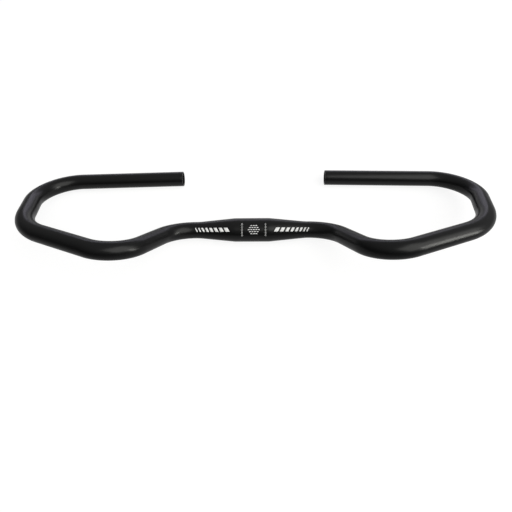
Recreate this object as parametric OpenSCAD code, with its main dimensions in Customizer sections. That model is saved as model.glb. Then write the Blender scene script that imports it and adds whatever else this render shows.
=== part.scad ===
// Butterfly handlebar: one aluminium tube, thick in the middle for the stem,
// swaged down to the grip diameter and bent into a loop on each side.
//
// The centreline of each side runs through five corners, and every corner is rounded by a bend.
// X runs across the bicycle, Y from the stem back to the arms, and Z up.
// The origin is the middle of the clamp, on the tube's axis.
// The bar lies as it rests on a level floor: on the clamp's underside and on the two arms.

/* [Tube] */
// Outside diameter of the grips and the bends
grip_d = 22.2; // [20:0.1:25.4]
// Outside diameter under the stem
clamp_d = 31.8; // [25.4:0.1:35]
// Wall of the grips and the bends
grip_wall = 1.8; // [1.2:0.1:3]
// Wall under the stem
clamp_wall = 2.4; // [1.6:0.1:4]
// Width of the bevel round the mouth of each cut end
mouth_bevel = 0.4; // [0.1:0.1:0.6]

/* [Middle] */
// Length of the parallel stretch that the stem clamps
clamp_len = 42; // [36:1:60]
// Radius of the shoulder where the clamp stretch turns into a taper
shoulder_r = 40; // [20:5:120]
// Radius of the hollow where a taper runs out into the grip diameter
neck_r = 80; // [40:5:200]

/* [Corners of the loop] */
// Distance from the middle to the corner where the tube leaves the stem line
hip_x = 105; // [98:1:112]
// Height of the loop's flat plane above the stem line
loop_rise = 31; // [10:1:60]
// Distance from the middle to the front corner
front_x = 146; // [135:1:160]
// Distance from the stem line forward to the front corner
front_y = 99; // [85:1:115]
// Distance from the middle to the side corner
side_x = 287; // [270:1:300]
// Distance from the stem line forward to the side corner
side_y = 39; // [25:1:50]
// Distance from the middle to the widest corner, at the back
back_x = 324.5; // [310:0.5:340]
// Distance from the stem line back to the widest corner
back_y = 87; // [75:1:100]
// Distance from the middle to the cut end of the arm
end_x = 108; // [60:1:150]
// Distance from the stem line back to the cut end of the arm
end_y = 97; // [85:1:110]

/* [Bends] */
// Bend radius at the hip, to the middle of the tube
hip_bend = 44; // [30:1:50]
// Bend radius at the front corner
front_bend = 41; // [30:1:50]
// Bend radius at the side corner
side_bend = 76; // [50:1:90]
// Bend radius at the back corner
back_bend = 50; // [40:1:60]

/* [Hidden] */
$fn = 96;

grip_r = grip_d / 2;
clamp_r = clamp_d / 2;
// The tube necks down by this much in a bend, as it does over a mandrel
bend_neck = 0.02;
// Each straight reaches this far into the bends beside it
lap = 0.1;
// What cuts through an end reaches this far past it
past = 1;
// Steps in a blend's arc
arc_steps = 6;

// Centreline of the right side, with the loop's plane level
corners = [
    [0, 0, 0],
    [hip_x, 0, 0],
    [front_x, -front_y, loop_rise],
    [side_x, -side_y, loop_rise],
    [back_x, back_y, loop_rise],
    [end_x, end_y, loop_rise]
];
bends = [0, hip_bend, front_bend, side_bend, back_bend, 0];
last = len(corners) - 1;

function unit(v) = v / norm(v);
function heading(i) = unit(corners[i + 1] - corners[i]);
function turn(i) = acos(heading(i - 1) * heading(i));
// A bend starts and ends this far from its corner
function setback(i) = bends[i] == 0 ? 0 : bends[i] * tan(turn(i) / 2);
function bend_axis(i) = unit(cross(heading(i - 1), heading(i)));
function bend_start(i) = corners[i] - heading(i - 1) * setback(i);
function straight_start(i) = corners[i] + heading(i) * setback(i);
function straight_len(i) = norm(corners[i + 1] - corners[i]) - setback(i) - setback(i + 1);

// The tapers end where the first bends start
middle_len = 2 * straight_len(0);
// Lowering the loop by this angle brings the arms down to the floor that the clamp lies on
rest_tilt = atan2(loop_rise, end_y) + asin((clamp_r - grip_r) / norm([loop_rise, end_y]));

// Puts its children in the frame whose axes are x, y and z, with its origin at p
module in_frame(p, x, y, z) {
    multmatrix([
        [x[0], y[0], z[0], p[0]],
        [x[1], y[1], z[1], p[1]],
        [x[2], y[2], z[2], p[2]],
        [0, 0, 0, 1]
    ]) children();
}

// A solid round straight of radius r between corner i and the next
module straight(i, r) {
    z = heading(i);
    x = bend_axis(i);
    in_frame(straight_start(i) - z * lap, x, cross(z, x), z)
        cylinder(r = r, h = straight_len(i) + 2 * lap);
}

// The arm's straight, turned to a bevel at its cut end: in a bore it opens, and it runs out past the end
module arm(r, bore) {
    i = last - 1;
    z = heading(i);
    x = bend_axis(i);
    len = straight_len(i) + lap;
    tip = bore ? [r + mouth_bevel + past, len + past] : [r - mouth_bevel, len];
    in_frame(straight_start(i) - z * lap, x, cross(z, x), z)
        rotate_extrude()
            polygon([[0, 0], [r, 0], [r, len - mouth_bevel], tip, [0, tip[1]]]);
}

// A solid round bend of radius r at corner i
module bend(i, r) {
    y = heading(i - 1);
    z = bend_axis(i);
    x = cross(y, z);
    in_frame(bend_start(i) - x * bends[i], x, y, z)
        rotate_extrude(angle = turn(i))
            translate([bends[i], 0])
                circle(r = r);
}

// The angle of the straight cone between a taper's two blends, where it falls from radius mid to slim
function taper_slope(mid, slim) =
    let (run = middle_len / 2 - clamp_len / 2, fall = mid - slim, r = 2 * (shoulder_r + neck_r) - fall)
    2 * atan((run - sqrt(run * run - fall * r)) / r);

// Half the middle in outline: radius mid under the stem, then a taper down to radius slim
function middle_outline(mid, slim) =
    let (slope = taper_slope(mid, slim))
    [
        [0, 0],
        [mid, 0],
        for (k = [0 : arc_steps])
            let (a = slope * k / arc_steps)
            [mid - shoulder_r * (1 - cos(a)), clamp_len / 2 + shoulder_r * sin(a)],
        for (k = [arc_steps : -1 : 0])
            let (a = slope * k / arc_steps)
            [slim + neck_r * (1 - cos(a)), middle_len / 2 - neck_r * sin(a)],
        [slim, middle_len / 2 + lap],
        [0, middle_len / 2 + lap]
    ];

// The middle's right half, turned about the stem line
module middle_half(mid, slim) {
    rotate([0, 90, 0])
        rotate_extrude()
            polygon(middle_outline(mid, slim));
}

// The tube's outside, or its bore: radius mid under the stem and radius slim in the loops
module run(mid, slim, bore) {
    for (side = [0, 1])
        mirror([side, 0, 0]) {
            middle_half(mid, slim);
            for (i = [1 : last - 1])
                bend(i, slim - bend_neck);
            for (i = [1 : last - 2])
                straight(i, slim);
            arm(slim, bore);
        }
}

module handlebar() {
    color("#1c1c1e")
        rotate([-rest_tilt, 0, 0])
            difference() {
                run(clamp_r, grip_r, false);
                run(clamp_r - clamp_wall, grip_r - grip_wall, true);
            }
}

handlebar();
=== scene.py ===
"""Looks of a butterfly handlebar: a satin black anodised tube with plain white print, on a white floor."""

import math

import bmesh
import bpy
from mathutils import Matrix, Vector


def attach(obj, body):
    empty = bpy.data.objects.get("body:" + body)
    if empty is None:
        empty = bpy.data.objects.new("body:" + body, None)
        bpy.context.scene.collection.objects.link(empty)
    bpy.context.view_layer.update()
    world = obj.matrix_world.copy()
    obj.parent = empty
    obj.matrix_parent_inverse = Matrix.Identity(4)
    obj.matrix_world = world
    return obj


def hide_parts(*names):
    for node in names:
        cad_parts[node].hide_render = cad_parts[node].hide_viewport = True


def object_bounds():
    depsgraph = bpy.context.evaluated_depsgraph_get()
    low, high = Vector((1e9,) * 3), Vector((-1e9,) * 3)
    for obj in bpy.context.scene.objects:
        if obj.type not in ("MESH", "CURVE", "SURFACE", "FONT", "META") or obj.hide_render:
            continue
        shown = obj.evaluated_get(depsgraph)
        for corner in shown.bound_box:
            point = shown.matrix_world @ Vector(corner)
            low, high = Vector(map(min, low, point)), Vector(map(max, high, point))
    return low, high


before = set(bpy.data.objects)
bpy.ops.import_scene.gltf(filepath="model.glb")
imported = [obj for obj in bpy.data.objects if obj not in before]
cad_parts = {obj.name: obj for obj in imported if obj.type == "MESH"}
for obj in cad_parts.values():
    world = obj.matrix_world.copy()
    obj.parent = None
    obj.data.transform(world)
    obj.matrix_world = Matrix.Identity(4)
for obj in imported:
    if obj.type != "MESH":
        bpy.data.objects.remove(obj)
cad_low, cad_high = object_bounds()

MM = 0.001

# Driving sizes of the tube, in millimetres, as in the CAD model
GRIP_R = 11.1
CLAMP_R = 15.9
GRIP_WALL = 1.8
CLAMP_WALL = 2.4
MOUTH_ROUND = 0.4
CLAMP_LEN = 42.0
SHOULDER_R = 40.0
NECK_R = 80.0

# Corners of the right side's centreline, with the loop's plane level
CORNERS = [
    Vector((0, 0, 0)),  # middle of the clamp
    Vector((105, 0, 0)),  # hip
    Vector((146, -99, 31)),  # front
    Vector((287, -39, 31)),  # side
    Vector((324.5, 87, 31)),  # back
    Vector((108, 97, 31)),  # cut end
]
# Bend radius at each corner
BEND_RADII = [0, 44, 41, 76, 50, 0]
LAST = len(CORNERS) - 1

# Fineness of the tube's mesh
ROUND_STEPS = 72
BEND_STEP = math.radians(2.0)
STRAIGHT_STEP = 6.0
TAPER_STEP = 1.5
LIP_STEPS = 5
SHARP_ANGLE = math.radians(40.0)


# Centreline


def heading(i):
    """Direction of the straight from a corner to the next."""
    return (CORNERS[i + 1] - CORNERS[i]).normalized()


def turn(i):
    """Angle by which the line turns at a corner."""
    return math.acos(heading(i - 1).dot(heading(i)))


def bend_axis(i):
    return heading(i - 1).cross(heading(i)).normalized()


def setback(i):
    """How far from its corner a bend starts and ends."""
    return BEND_RADII[i] * math.tan(turn(i) / 2) if BEND_RADII[i] else 0.0


def straight_len(i):
    return (CORNERS[i + 1] - CORNERS[i]).length - setback(i) - setback(i + 1)


def steps(length, step):
    """Even shares of 0 to 1 that are no longer than step, without the first."""
    count = max(1, math.ceil(length / step))
    return [(k + 1) / count for k in range(count)]


def straight_points(i, along):
    """Points of the straight after a corner, which starts at the distance along."""
    start = CORNERS[i] + heading(i) * setback(i)
    points = []
    for share in steps(straight_len(i), TAPER_STEP if i == 0 else STRAIGHT_STEP):
        length = straight_len(i) * share
        points.append((start + heading(i) * length, heading(i), along + length))
    return points


def bend_points(i, along):
    """Points of the bend at a corner, which starts at the distance along."""
    first = CORNERS[i] - heading(i - 1) * setback(i)
    centre = first + bend_axis(i).cross(heading(i - 1)) * BEND_RADII[i]
    points = []
    for share in steps(turn(i), BEND_STEP):
        angle = turn(i) * share
        spin = Matrix.Rotation(angle, 3, bend_axis(i))
        place = centre + spin @ (first - centre)
        points.append((place, spin @ heading(i - 1), along + BEND_RADII[i] * angle))
    return points


def right_line():
    """Points as (place, direction, distance along), from the middle of the clamp to the right cut end."""
    points = [(CORNERS[0], heading(0), 0.0)]
    for i in range(LAST):
        points += straight_points(i, points[-1][2])
        if i + 1 < LAST:
            points += bend_points(i + 1, points[-1][2])
    return points


def whole_line():
    """The same points from the left cut end to the right one. Distances on the left are negative."""
    right = right_line()
    mirror = Vector((-1, 1, 1))
    left = []
    for place, direction, along in reversed(right[1:]):
        left.append((place * mirror, -(direction * mirror), -along))
    return left + right


# Section of the tube

# The tapers end where the first bends start
MIDDLE_HALF = straight_len(0)


def taper_slope(mid, slim):
    """Angle of the straight cone between a taper's shoulder and neck."""
    run = MIDDLE_HALF - CLAMP_LEN / 2
    fall = mid - slim
    both = 2 * (SHOULDER_R + NECK_R) - fall
    return 2 * math.atan((run - math.sqrt(run * run - fall * both)) / both)


def radius_at(mid, slim, along):
    """Radius at a distance along: mid under the stem, then shoulder, cone and neck down to slim."""
    slope = taper_slope(mid, slim)
    past_clamp = abs(along) - CLAMP_LEN / 2
    before_bend = MIDDLE_HALF - abs(along)
    if past_clamp <= 0:
        return mid
    if before_bend <= 0:
        return slim
    if past_clamp <= SHOULDER_R * math.sin(slope):
        return mid - SHOULDER_R + math.sqrt(SHOULDER_R**2 - past_clamp**2)
    if before_bend <= NECK_R * math.sin(slope):
        return slim + NECK_R - math.sqrt(NECK_R**2 - before_bend**2)
    cone_start = mid - SHOULDER_R * (1 - math.cos(slope))
    return cone_start - (past_clamp - SHOULDER_R * math.sin(slope)) * math.tan(slope)


def outside_radius(along):
    return radius_at(CLAMP_R, GRIP_R, along)


def bore_radius(along):
    return radius_at(CLAMP_R - CLAMP_WALL, GRIP_R - GRIP_WALL, along)


# Tube

# Lowering the loops by this angle brings the arms down to the floor that the clamp lies on
ARM_END = CORNERS[LAST]
ARM_REACH = math.hypot(ARM_END.y, ARM_END.z)
REST_TILT = math.atan2(ARM_END.z, ARM_END.y) + math.asin((CLAMP_R - GRIP_R) / ARM_REACH)
REST_TURN = Matrix.Rotation(-REST_TILT, 3, "X")


def side_vectors(line):
    """A vector square to the line at each point, carried along it without twist."""
    normal = Vector((0, 0, 1))
    normals = []
    for _, direction, _ in line:
        normal = (normal - direction * normal.dot(direction)).normalized()
        normals.append(normal)
    return normals


def ring(bm, place, direction, normal, radius):
    """A closed loop of vertices round a point of the level bar, at rest and in metres."""
    other = direction.cross(normal)
    made = []
    for k in range(ROUND_STEPS):
        a = 2 * math.pi * k / ROUND_STEPS
        out = (normal * math.cos(a) + other * math.sin(a)) * radius
        made.append(bm.verts.new(REST_TURN @ (place + out) * MM))
    return made


def bridge(bm, first, second):
    """Quads from one ring to the next."""
    for k in range(ROUND_STEPS):
        n = (k + 1) % ROUND_STEPS
        bm.faces.new((first[k], first[n], second[n], second[k]))


def lip(end, outward):
    """The rounded edges of a cut end as (place, radius), from the outside to the bore."""
    curve = []
    for k in range(LIP_STEPS + 1):
        a = math.pi / 2 * k / LIP_STEPS
        curve.append((MOUTH_ROUND * (1 - math.sin(a)), MOUTH_ROUND * (1 - math.cos(a))))
    outside = [(end - outward * depth, GRIP_R - inset) for depth, inset in curve]
    bore = [(end - outward * depth, GRIP_R - GRIP_WALL + inset) for depth, inset in reversed(curve)]
    return outside + bore


def finished(name, bm):
    """A smooth-shaded piece whose sharp edges stay sharp."""
    mesh = bpy.data.meshes.new(name)
    for edge in bm.edges:
        edge.smooth = edge.calc_face_angle(0) < SHARP_ANGLE
    bm.to_mesh(mesh)
    bm.free()
    mesh.polygons.foreach_set("use_smooth", [True] * len(mesh.polygons))
    piece = bpy.data.objects.new(name, mesh)
    bpy.context.scene.collection.objects.link(piece)
    return piece


def tube():
    """The bar as one closed skin: the outside, the right lip, back through the bore, and the left lip."""
    line = whole_line()
    normals = side_vectors(line)
    between = list(zip(line, normals))[1:-1]
    bm = bmesh.new()
    rings = []
    for (place, direction, along), normal in between:
        rings.append(ring(bm, place, direction, normal, outside_radius(along)))
    end, direction, _ = line[-1]
    for place, radius in lip(end, direction):
        rings.append(ring(bm, place, direction, normals[-1], radius))
    for (place, direction, along), normal in reversed(between):
        rings.append(ring(bm, place, direction, normal, bore_radius(along)))
    end, direction, _ = line[0]
    for place, radius in reversed(lip(end, -direction)):
        rings.append(ring(bm, place, direction, normals[0], radius))
    for one, two in zip(rings, rings[1:] + rings[:1]):
        bridge(bm, one, two)
    bmesh.ops.recalc_face_normals(bm, faces=bm.faces)
    return finished("handlebar_tube", bm)


# Print: plain shapes, placed in millimetres by their distance from the middle and their arc round the tube

# How far the ink stands out of the tube's surface, and how far inside it the ink's back lies
PRINT_PROUD = 0.03
PRINT_SUNK = 0.05
PRINT_STEP = 1.2
# Angle of the print's middle above the front of the tube
PRINT_ANGLE = math.radians(55.0)

# A row of slanted bars on each side, which narrow outward
ROW_START = 30.5
ROW_HEIGHT = 5.4
ROW_SLANT = 0.5
BARS = 8
WIDEST_BAR = 5.2
NARROWEST_BAR = 1.6
BAR_GAP = 2.4

# The two alignment scales, by their middles
SCALES = [-12.8, 18.1]
SCALE_TICKS = 14
LONG_EVERY = 3
TICK_PITCH = 1.3
TICK_WIDTH = 0.4
LONG_TICK = 2.4
SHORT_TICK = 1.5

# The block between the scales, as the number of dashes in each row
BLOCK_MIDDLE = 2.7
BLOCK_ROWS = [3, 4, 5, 4, 3]
ROW_PITCH = 2.7
DASH_LENGTH = 2.3
DASH_HEIGHT = 1.1
DASH_PITCH = 3.3


def on_tube(along, arc, lift):
    """A point over the resting tube's outside, in metres, which follows the bend past the middle's end."""
    radius = outside_radius(along)
    a = PRINT_ANGLE + arc / radius
    in_bend = max(0.0, abs(along) - MIDDLE_HALF)
    point = Vector((abs(along) - in_bend, -math.cos(a) * (radius + lift), math.sin(a) * (radius + lift)))
    axis = REST_TURN @ bend_axis(1)
    centre = Vector((MIDDLE_HALF, 0, 0)) + axis.cross(heading(0)) * BEND_RADII[1]
    spin = Matrix.Rotation(in_bend / BEND_RADII[1], 3, axis)
    point = centre + spin @ (point - centre)
    return Vector((math.copysign(point.x, along), point.y, point.z)) * MM


def plate(bm, low, high, arc, height, slant=0.0):
    """A thin closed plate that follows the tube, from low to high along it and centred on an arc round it."""
    cols = [low] + [low + (high - low) * share for share in steps(high - low, PRINT_STEP)]
    rows = [-height / 2] + [height * (share - 0.5) for share in steps(height, PRINT_STEP)]

    def sheet(lift):
        return [[bm.verts.new(on_tube(u + slant * v, arc + v, lift)) for v in rows] for u in cols]

    top = sheet(PRINT_PROUD)
    under = sheet(-PRINT_SUNK)
    last_col = len(cols) - 1
    last_row = len(rows) - 1
    for i in range(last_col):
        for j in range(last_row):
            bm.faces.new((top[i][j], top[i + 1][j], top[i + 1][j + 1], top[i][j + 1]))
            bm.faces.new((under[i][j + 1], under[i + 1][j + 1], under[i + 1][j], under[i][j]))
    rim = [(i, 0) for i in range(last_col)]
    rim += [(last_col, j) for j in range(last_row)]
    rim += [(i, last_row) for i in range(last_col, 0, -1)]
    rim += [(0, j) for j in range(last_row, 0, -1)]
    for (i, j), (m, n) in zip(rim, rim[1:] + rim[:1]):
        bm.faces.new((top[i][j], under[i][j], under[m][n], top[m][n]))


def centred(index, count, pitch):
    """Where one of a count of evenly spaced things lies, from the middle of them all."""
    return (index - (count - 1) / 2) * pitch


def slanted_row(bm, side):
    """The row of bars on one side: 1 for the right, -1 for the left."""
    near = ROW_START
    for k in range(BARS):
        far = near + WIDEST_BAR + (NARROWEST_BAR - WIDEST_BAR) * k / (BARS - 1)
        low, high = sorted([side * near, side * far])
        plate(bm, low, high, 0, ROW_HEIGHT, side * ROW_SLANT)
        near = far + BAR_GAP


def scale(bm, middle):
    """A column of ticks round the tube."""
    for k in range(SCALE_TICKS):
        half = (SHORT_TICK if k % LONG_EVERY else LONG_TICK) / 2
        plate(bm, middle - half, middle + half, centred(k, SCALE_TICKS, TICK_PITCH), TICK_WIDTH)


def dash_block(bm):
    for row, count in enumerate(BLOCK_ROWS):
        arc = centred(row, len(BLOCK_ROWS), ROW_PITCH)
        for k in range(count):
            middle = BLOCK_MIDDLE + centred(k, count, DASH_PITCH)
            plate(bm, middle - DASH_LENGTH / 2, middle + DASH_LENGTH / 2, arc, DASH_HEIGHT)


def print_marks():
    bm = bmesh.new()
    for side in (-1, 1):
        slanted_row(bm, side)
    for middle in SCALES:
        scale(bm, middle)
    dash_block(bm)
    return finished("print_marks", bm)


# Materials

# Anodising: its black, its reflection, how rough it is from cloud to cloud, and the blasted grain
BLACK = (0.004, 0.004, 0.0042, 1)
BLACK_IOR = 1.33
CLOUD_SCALE = 60
CLOUD_DETAIL = 4
ROUGH_LOW = 0.26
ROUGH_HIGH = 0.32
GRAIN_SCALE = 2600
GRAIN_DETAIL = 3
GRAIN_STRENGTH = 0.12
GRAIN_DEPTH = 0.00008

# Ink: how rough it is, and how white it is from thin places to full ones
INK_ROUGHNESS = 0.5
INK_SCALE = 900
INK_DETAIL = 3
INK_THIN = 0.76
INK_FULL = 0.94

# Floor: its matte white, the part of it that takes shadow, and the glow that makes up the rest for the camera
FLOOR_ALBEDO = 0.8
FLOOR_SHADOW = 0.2
FLOOR_GLOW = 0.86
# A painted pool of light on the floor, a glow that only gloss and glass see, which fades from its centre to
# its radius
POOL_CENTRE = Vector((0, 0.47, 0))
POOL_RADIUS = 1.0
POOL_GLOW = 1.0
POOL_EDGE = 0.15


def new_material(name):
    """A material with its nodes and links."""
    material = bpy.data.materials.new(name)
    material.use_nodes = True
    return material, material.node_tree.nodes, material.node_tree.links


def noise(nodes, links, size, detail):
    """Noise in the piece's own space."""
    place = nodes.new("ShaderNodeTexCoord")
    node = nodes.new("ShaderNodeTexNoise")
    node.inputs["Scale"].default_value = size
    node.inputs["Detail"].default_value = detail
    links.new(place.outputs["Object"], node.inputs["Vector"])
    return node.outputs["Fac"]


def spread(nodes, links, value, low, high, start=0.0, stop=1.0, shape="LINEAR"):
    """A value whose range of start to stop is mapped onto low to high."""
    node = nodes.new("ShaderNodeMapRange")
    node.interpolation_type = shape
    node.inputs["From Min"].default_value = start
    node.inputs["From Max"].default_value = stop
    node.inputs["To Min"].default_value = low
    node.inputs["To Max"].default_value = high
    links.new(value, node.inputs["Value"])
    return node.outputs["Result"]


def anodised():
    """Bead-blasted black anodising: a satin sheen that varies a little from place to place."""
    material, nodes, links = new_material("anodised_black")
    shader = nodes["Principled BSDF"]
    shader.inputs["Base Color"].default_value = BLACK
    shader.inputs["IOR"].default_value = BLACK_IOR
    cloud = noise(nodes, links, CLOUD_SCALE, CLOUD_DETAIL)
    links.new(spread(nodes, links, cloud, ROUGH_LOW, ROUGH_HIGH), shader.inputs["Roughness"])
    bump = nodes.new("ShaderNodeBump")
    bump.inputs["Strength"].default_value = GRAIN_STRENGTH
    bump.inputs["Distance"].default_value = GRAIN_DEPTH
    links.new(noise(nodes, links, GRAIN_SCALE, GRAIN_DETAIL), bump.inputs["Height"])
    links.new(bump.outputs["Normal"], shader.inputs["Normal"])
    return material


def white_ink():
    """Screen-printed ink, a little thinner in places."""
    material, nodes, links = new_material("white_ink")
    shader = nodes["Principled BSDF"]
    shader.inputs["Roughness"].default_value = INK_ROUGHNESS
    cloud = noise(nodes, links, INK_SCALE, INK_DETAIL)
    links.new(spread(nodes, links, cloud, INK_THIN, INK_FULL), shader.inputs["Base Color"])
    return material


def white_floor():
    """White to the camera, less a soft shadow. Gloss and glass see a painted pool of light, and the rest a
    matte white.
    """
    material, nodes, links = new_material("white_floor")
    nodes.clear()

    def math_node(operation, *values):
        node = nodes.new("ShaderNodeMath")
        node.operation = operation
        for socket, value in zip(node.inputs, values):
            if isinstance(value, float):
                socket.default_value = value
            else:
                links.new(value, socket)
        return node.outputs[0]

    place = nodes.new("ShaderNodeTexCoord")
    away = nodes.new("ShaderNodeVectorMath")
    away.operation = "DISTANCE"
    away.inputs[1].default_value = POOL_CENTRE
    links.new(place.outputs["Object"], away.inputs[0])
    distance = away.outputs["Value"]
    # Painted pool of light: a glow that fades from POOL_GLOW at POOL_CENTRE to POOL_EDGE at POOL_RADIUS
    pool = spread(nodes, links, distance, POOL_GLOW, POOL_EDGE, stop=POOL_RADIUS, shape="SMOOTHSTEP")

    rays = nodes.new("ShaderNodeLightPath")
    direct = rays.outputs["Is Camera Ray"]
    mirrored = math_node("MAXIMUM", rays.outputs["Is Glossy Ray"], rays.outputs["Is Transmission Ray"])
    scattered = math_node("SUBTRACT", 1.0, math_node("MAXIMUM", direct, mirrored))
    shadow = math_node("MULTIPLY", direct, FLOOR_SHADOW)
    albedo = math_node("MULTIPLY_ADD", scattered, FLOOR_ALBEDO, shadow)
    # The camera sees an even white glow, while gloss and glass see the painted pool of light
    seen_glow = math_node("MULTIPLY", direct, FLOOR_GLOW)
    strength = math_node("MULTIPLY_ADD", mirrored, pool, seen_glow)

    matte = nodes.new("ShaderNodeBsdfDiffuse")
    links.new(albedo, matte.inputs["Color"])
    glow = nodes.new("ShaderNodeEmission")
    links.new(strength, glow.inputs["Strength"])
    both = nodes.new("ShaderNodeAddShader")
    links.new(matte.outputs[0], both.inputs[0])
    links.new(glow.outputs[0], both.inputs[1])
    surface = nodes.new("ShaderNodeOutputMaterial")
    links.new(both.outputs[0], surface.inputs["Surface"])
    return material


# Setting, in metres and degrees

FLOOR_SIZE = 40.0

# The room brightens toward this axis, as the cosine to it goes from ROOM_FROM to ROOM_TO
ROOM_AXIS = Vector((0.2, 0.25, 0.95))
ROOM_DIM = 0.02
ROOM_BRIGHT = 0.48
ROOM_FROM = -0.3
ROOM_TO = 1.0
WHITE = (1, 1, 1, 1)

# Softboxes as (name, azimuth from +Y toward +X, elevation, width, height, radiance, colour)
SOFTBOXES = [
    ("low_softbox", 109, 13, 1.1, 2.55, 11.6, (1, 1, 0.95)),
    ("key_softbox", 118, 50, 7.1, 6.0, 2.3, (1, 1, 0.96)),
    ("back_softbox", 0, 11, 7.0, 1.2, 2.1, (0.87, 0.84, 1)),
]
SOFTBOX_DISTANCE = 6.0

# Camera, which looks from the front and above
CAMERA_PLACE = Vector((20.6, -293.7, 399.6)) * MM
CAMERA_AZIMUTH = math.radians(-2.83)
CAMERA_ELEVATION = math.radians(51.5)
CAMERA_ROLL = math.radians(2.59)
CAMERA_LENS = 25.8
SENSOR_WIDTH = 36.0
CAMERA_SHIFT_Y = -0.078
CAMERA_NEAR = 0.01


def floor():
    bpy.ops.mesh.primitive_plane_add(size=FLOOR_SIZE, location=(0, 0, cad_low.z))
    plane = bpy.context.object
    plane.name = "floor"
    plane.data.materials.append(white_floor())


def softbox(name, azimuth, elevation, width, height, radiance, colour):
    """A rectangular lamp that faces the origin and that the camera doesn't see."""
    data = bpy.data.lights.new(name, "AREA")
    data.shape = "RECTANGLE"
    data.size = width
    data.size_y = height
    data.energy = radiance * math.pi * width * height
    data.color = colour
    lamp = bpy.data.objects.new(name, data)
    a = math.radians(azimuth)
    e = math.radians(elevation)
    away = Vector((math.sin(a) * math.cos(e), math.cos(a) * math.cos(e), math.sin(e)))
    lamp.location = away * SOFTBOX_DISTANCE
    lamp.rotation_euler = away.to_track_quat("Z", "Y").to_euler()
    lamp.visible_camera = False
    bpy.context.scene.collection.objects.link(lamp)


def room():
    """A dim studio that is brighter overhead and behind the bar."""
    world = bpy.data.worlds.new("studio")
    world.use_nodes = True
    nodes = world.node_tree.nodes
    links = world.node_tree.links
    place = nodes.new("ShaderNodeTexCoord")
    toward = nodes.new("ShaderNodeVectorMath")
    toward.operation = "DOT_PRODUCT"
    toward.inputs[1].default_value = ROOM_AXIS.normalized()
    links.new(place.outputs["Generated"], toward.inputs[0])
    cosine = toward.outputs["Value"]
    fade = spread(nodes, links, cosine, ROOM_DIM, ROOM_BRIGHT, ROOM_FROM, ROOM_TO, "SMOOTHSTEP")
    links.new(fade, nodes["Background"].inputs["Strength"])
    nodes["Background"].inputs["Color"].default_value = WHITE
    bpy.context.scene.world = world


def camera():
    data = bpy.data.cameras.new("camera")
    data.lens = CAMERA_LENS
    data.sensor_width = SENSOR_WIDTH
    data.shift_y = CAMERA_SHIFT_Y
    data.clip_start = CAMERA_NEAR
    eye = bpy.data.objects.new("camera", data)
    eye.location = CAMERA_PLACE
    aim = (
        Matrix.Rotation(-CAMERA_AZIMUTH, 4, "Z")
        @ Matrix.Rotation(math.pi / 2 - CAMERA_ELEVATION, 4, "X")
        @ Matrix.Rotation(-CAMERA_ROLL, 4, "Z")
    )
    eye.rotation_euler = aim.to_euler()
    bpy.context.scene.collection.objects.link(eye)
    bpy.context.scene.camera = eye


bar = tube()
bar.data.materials.append(anodised())
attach(bar, "root")
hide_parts("handlebar")

marks = print_marks()
marks.data.materials.append(white_ink())
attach(marks, "root")

floor()
for box in SOFTBOXES:
    softbox(*box)
room()
camera()
bpy.context.scene.view_settings.view_transform = "Standard"
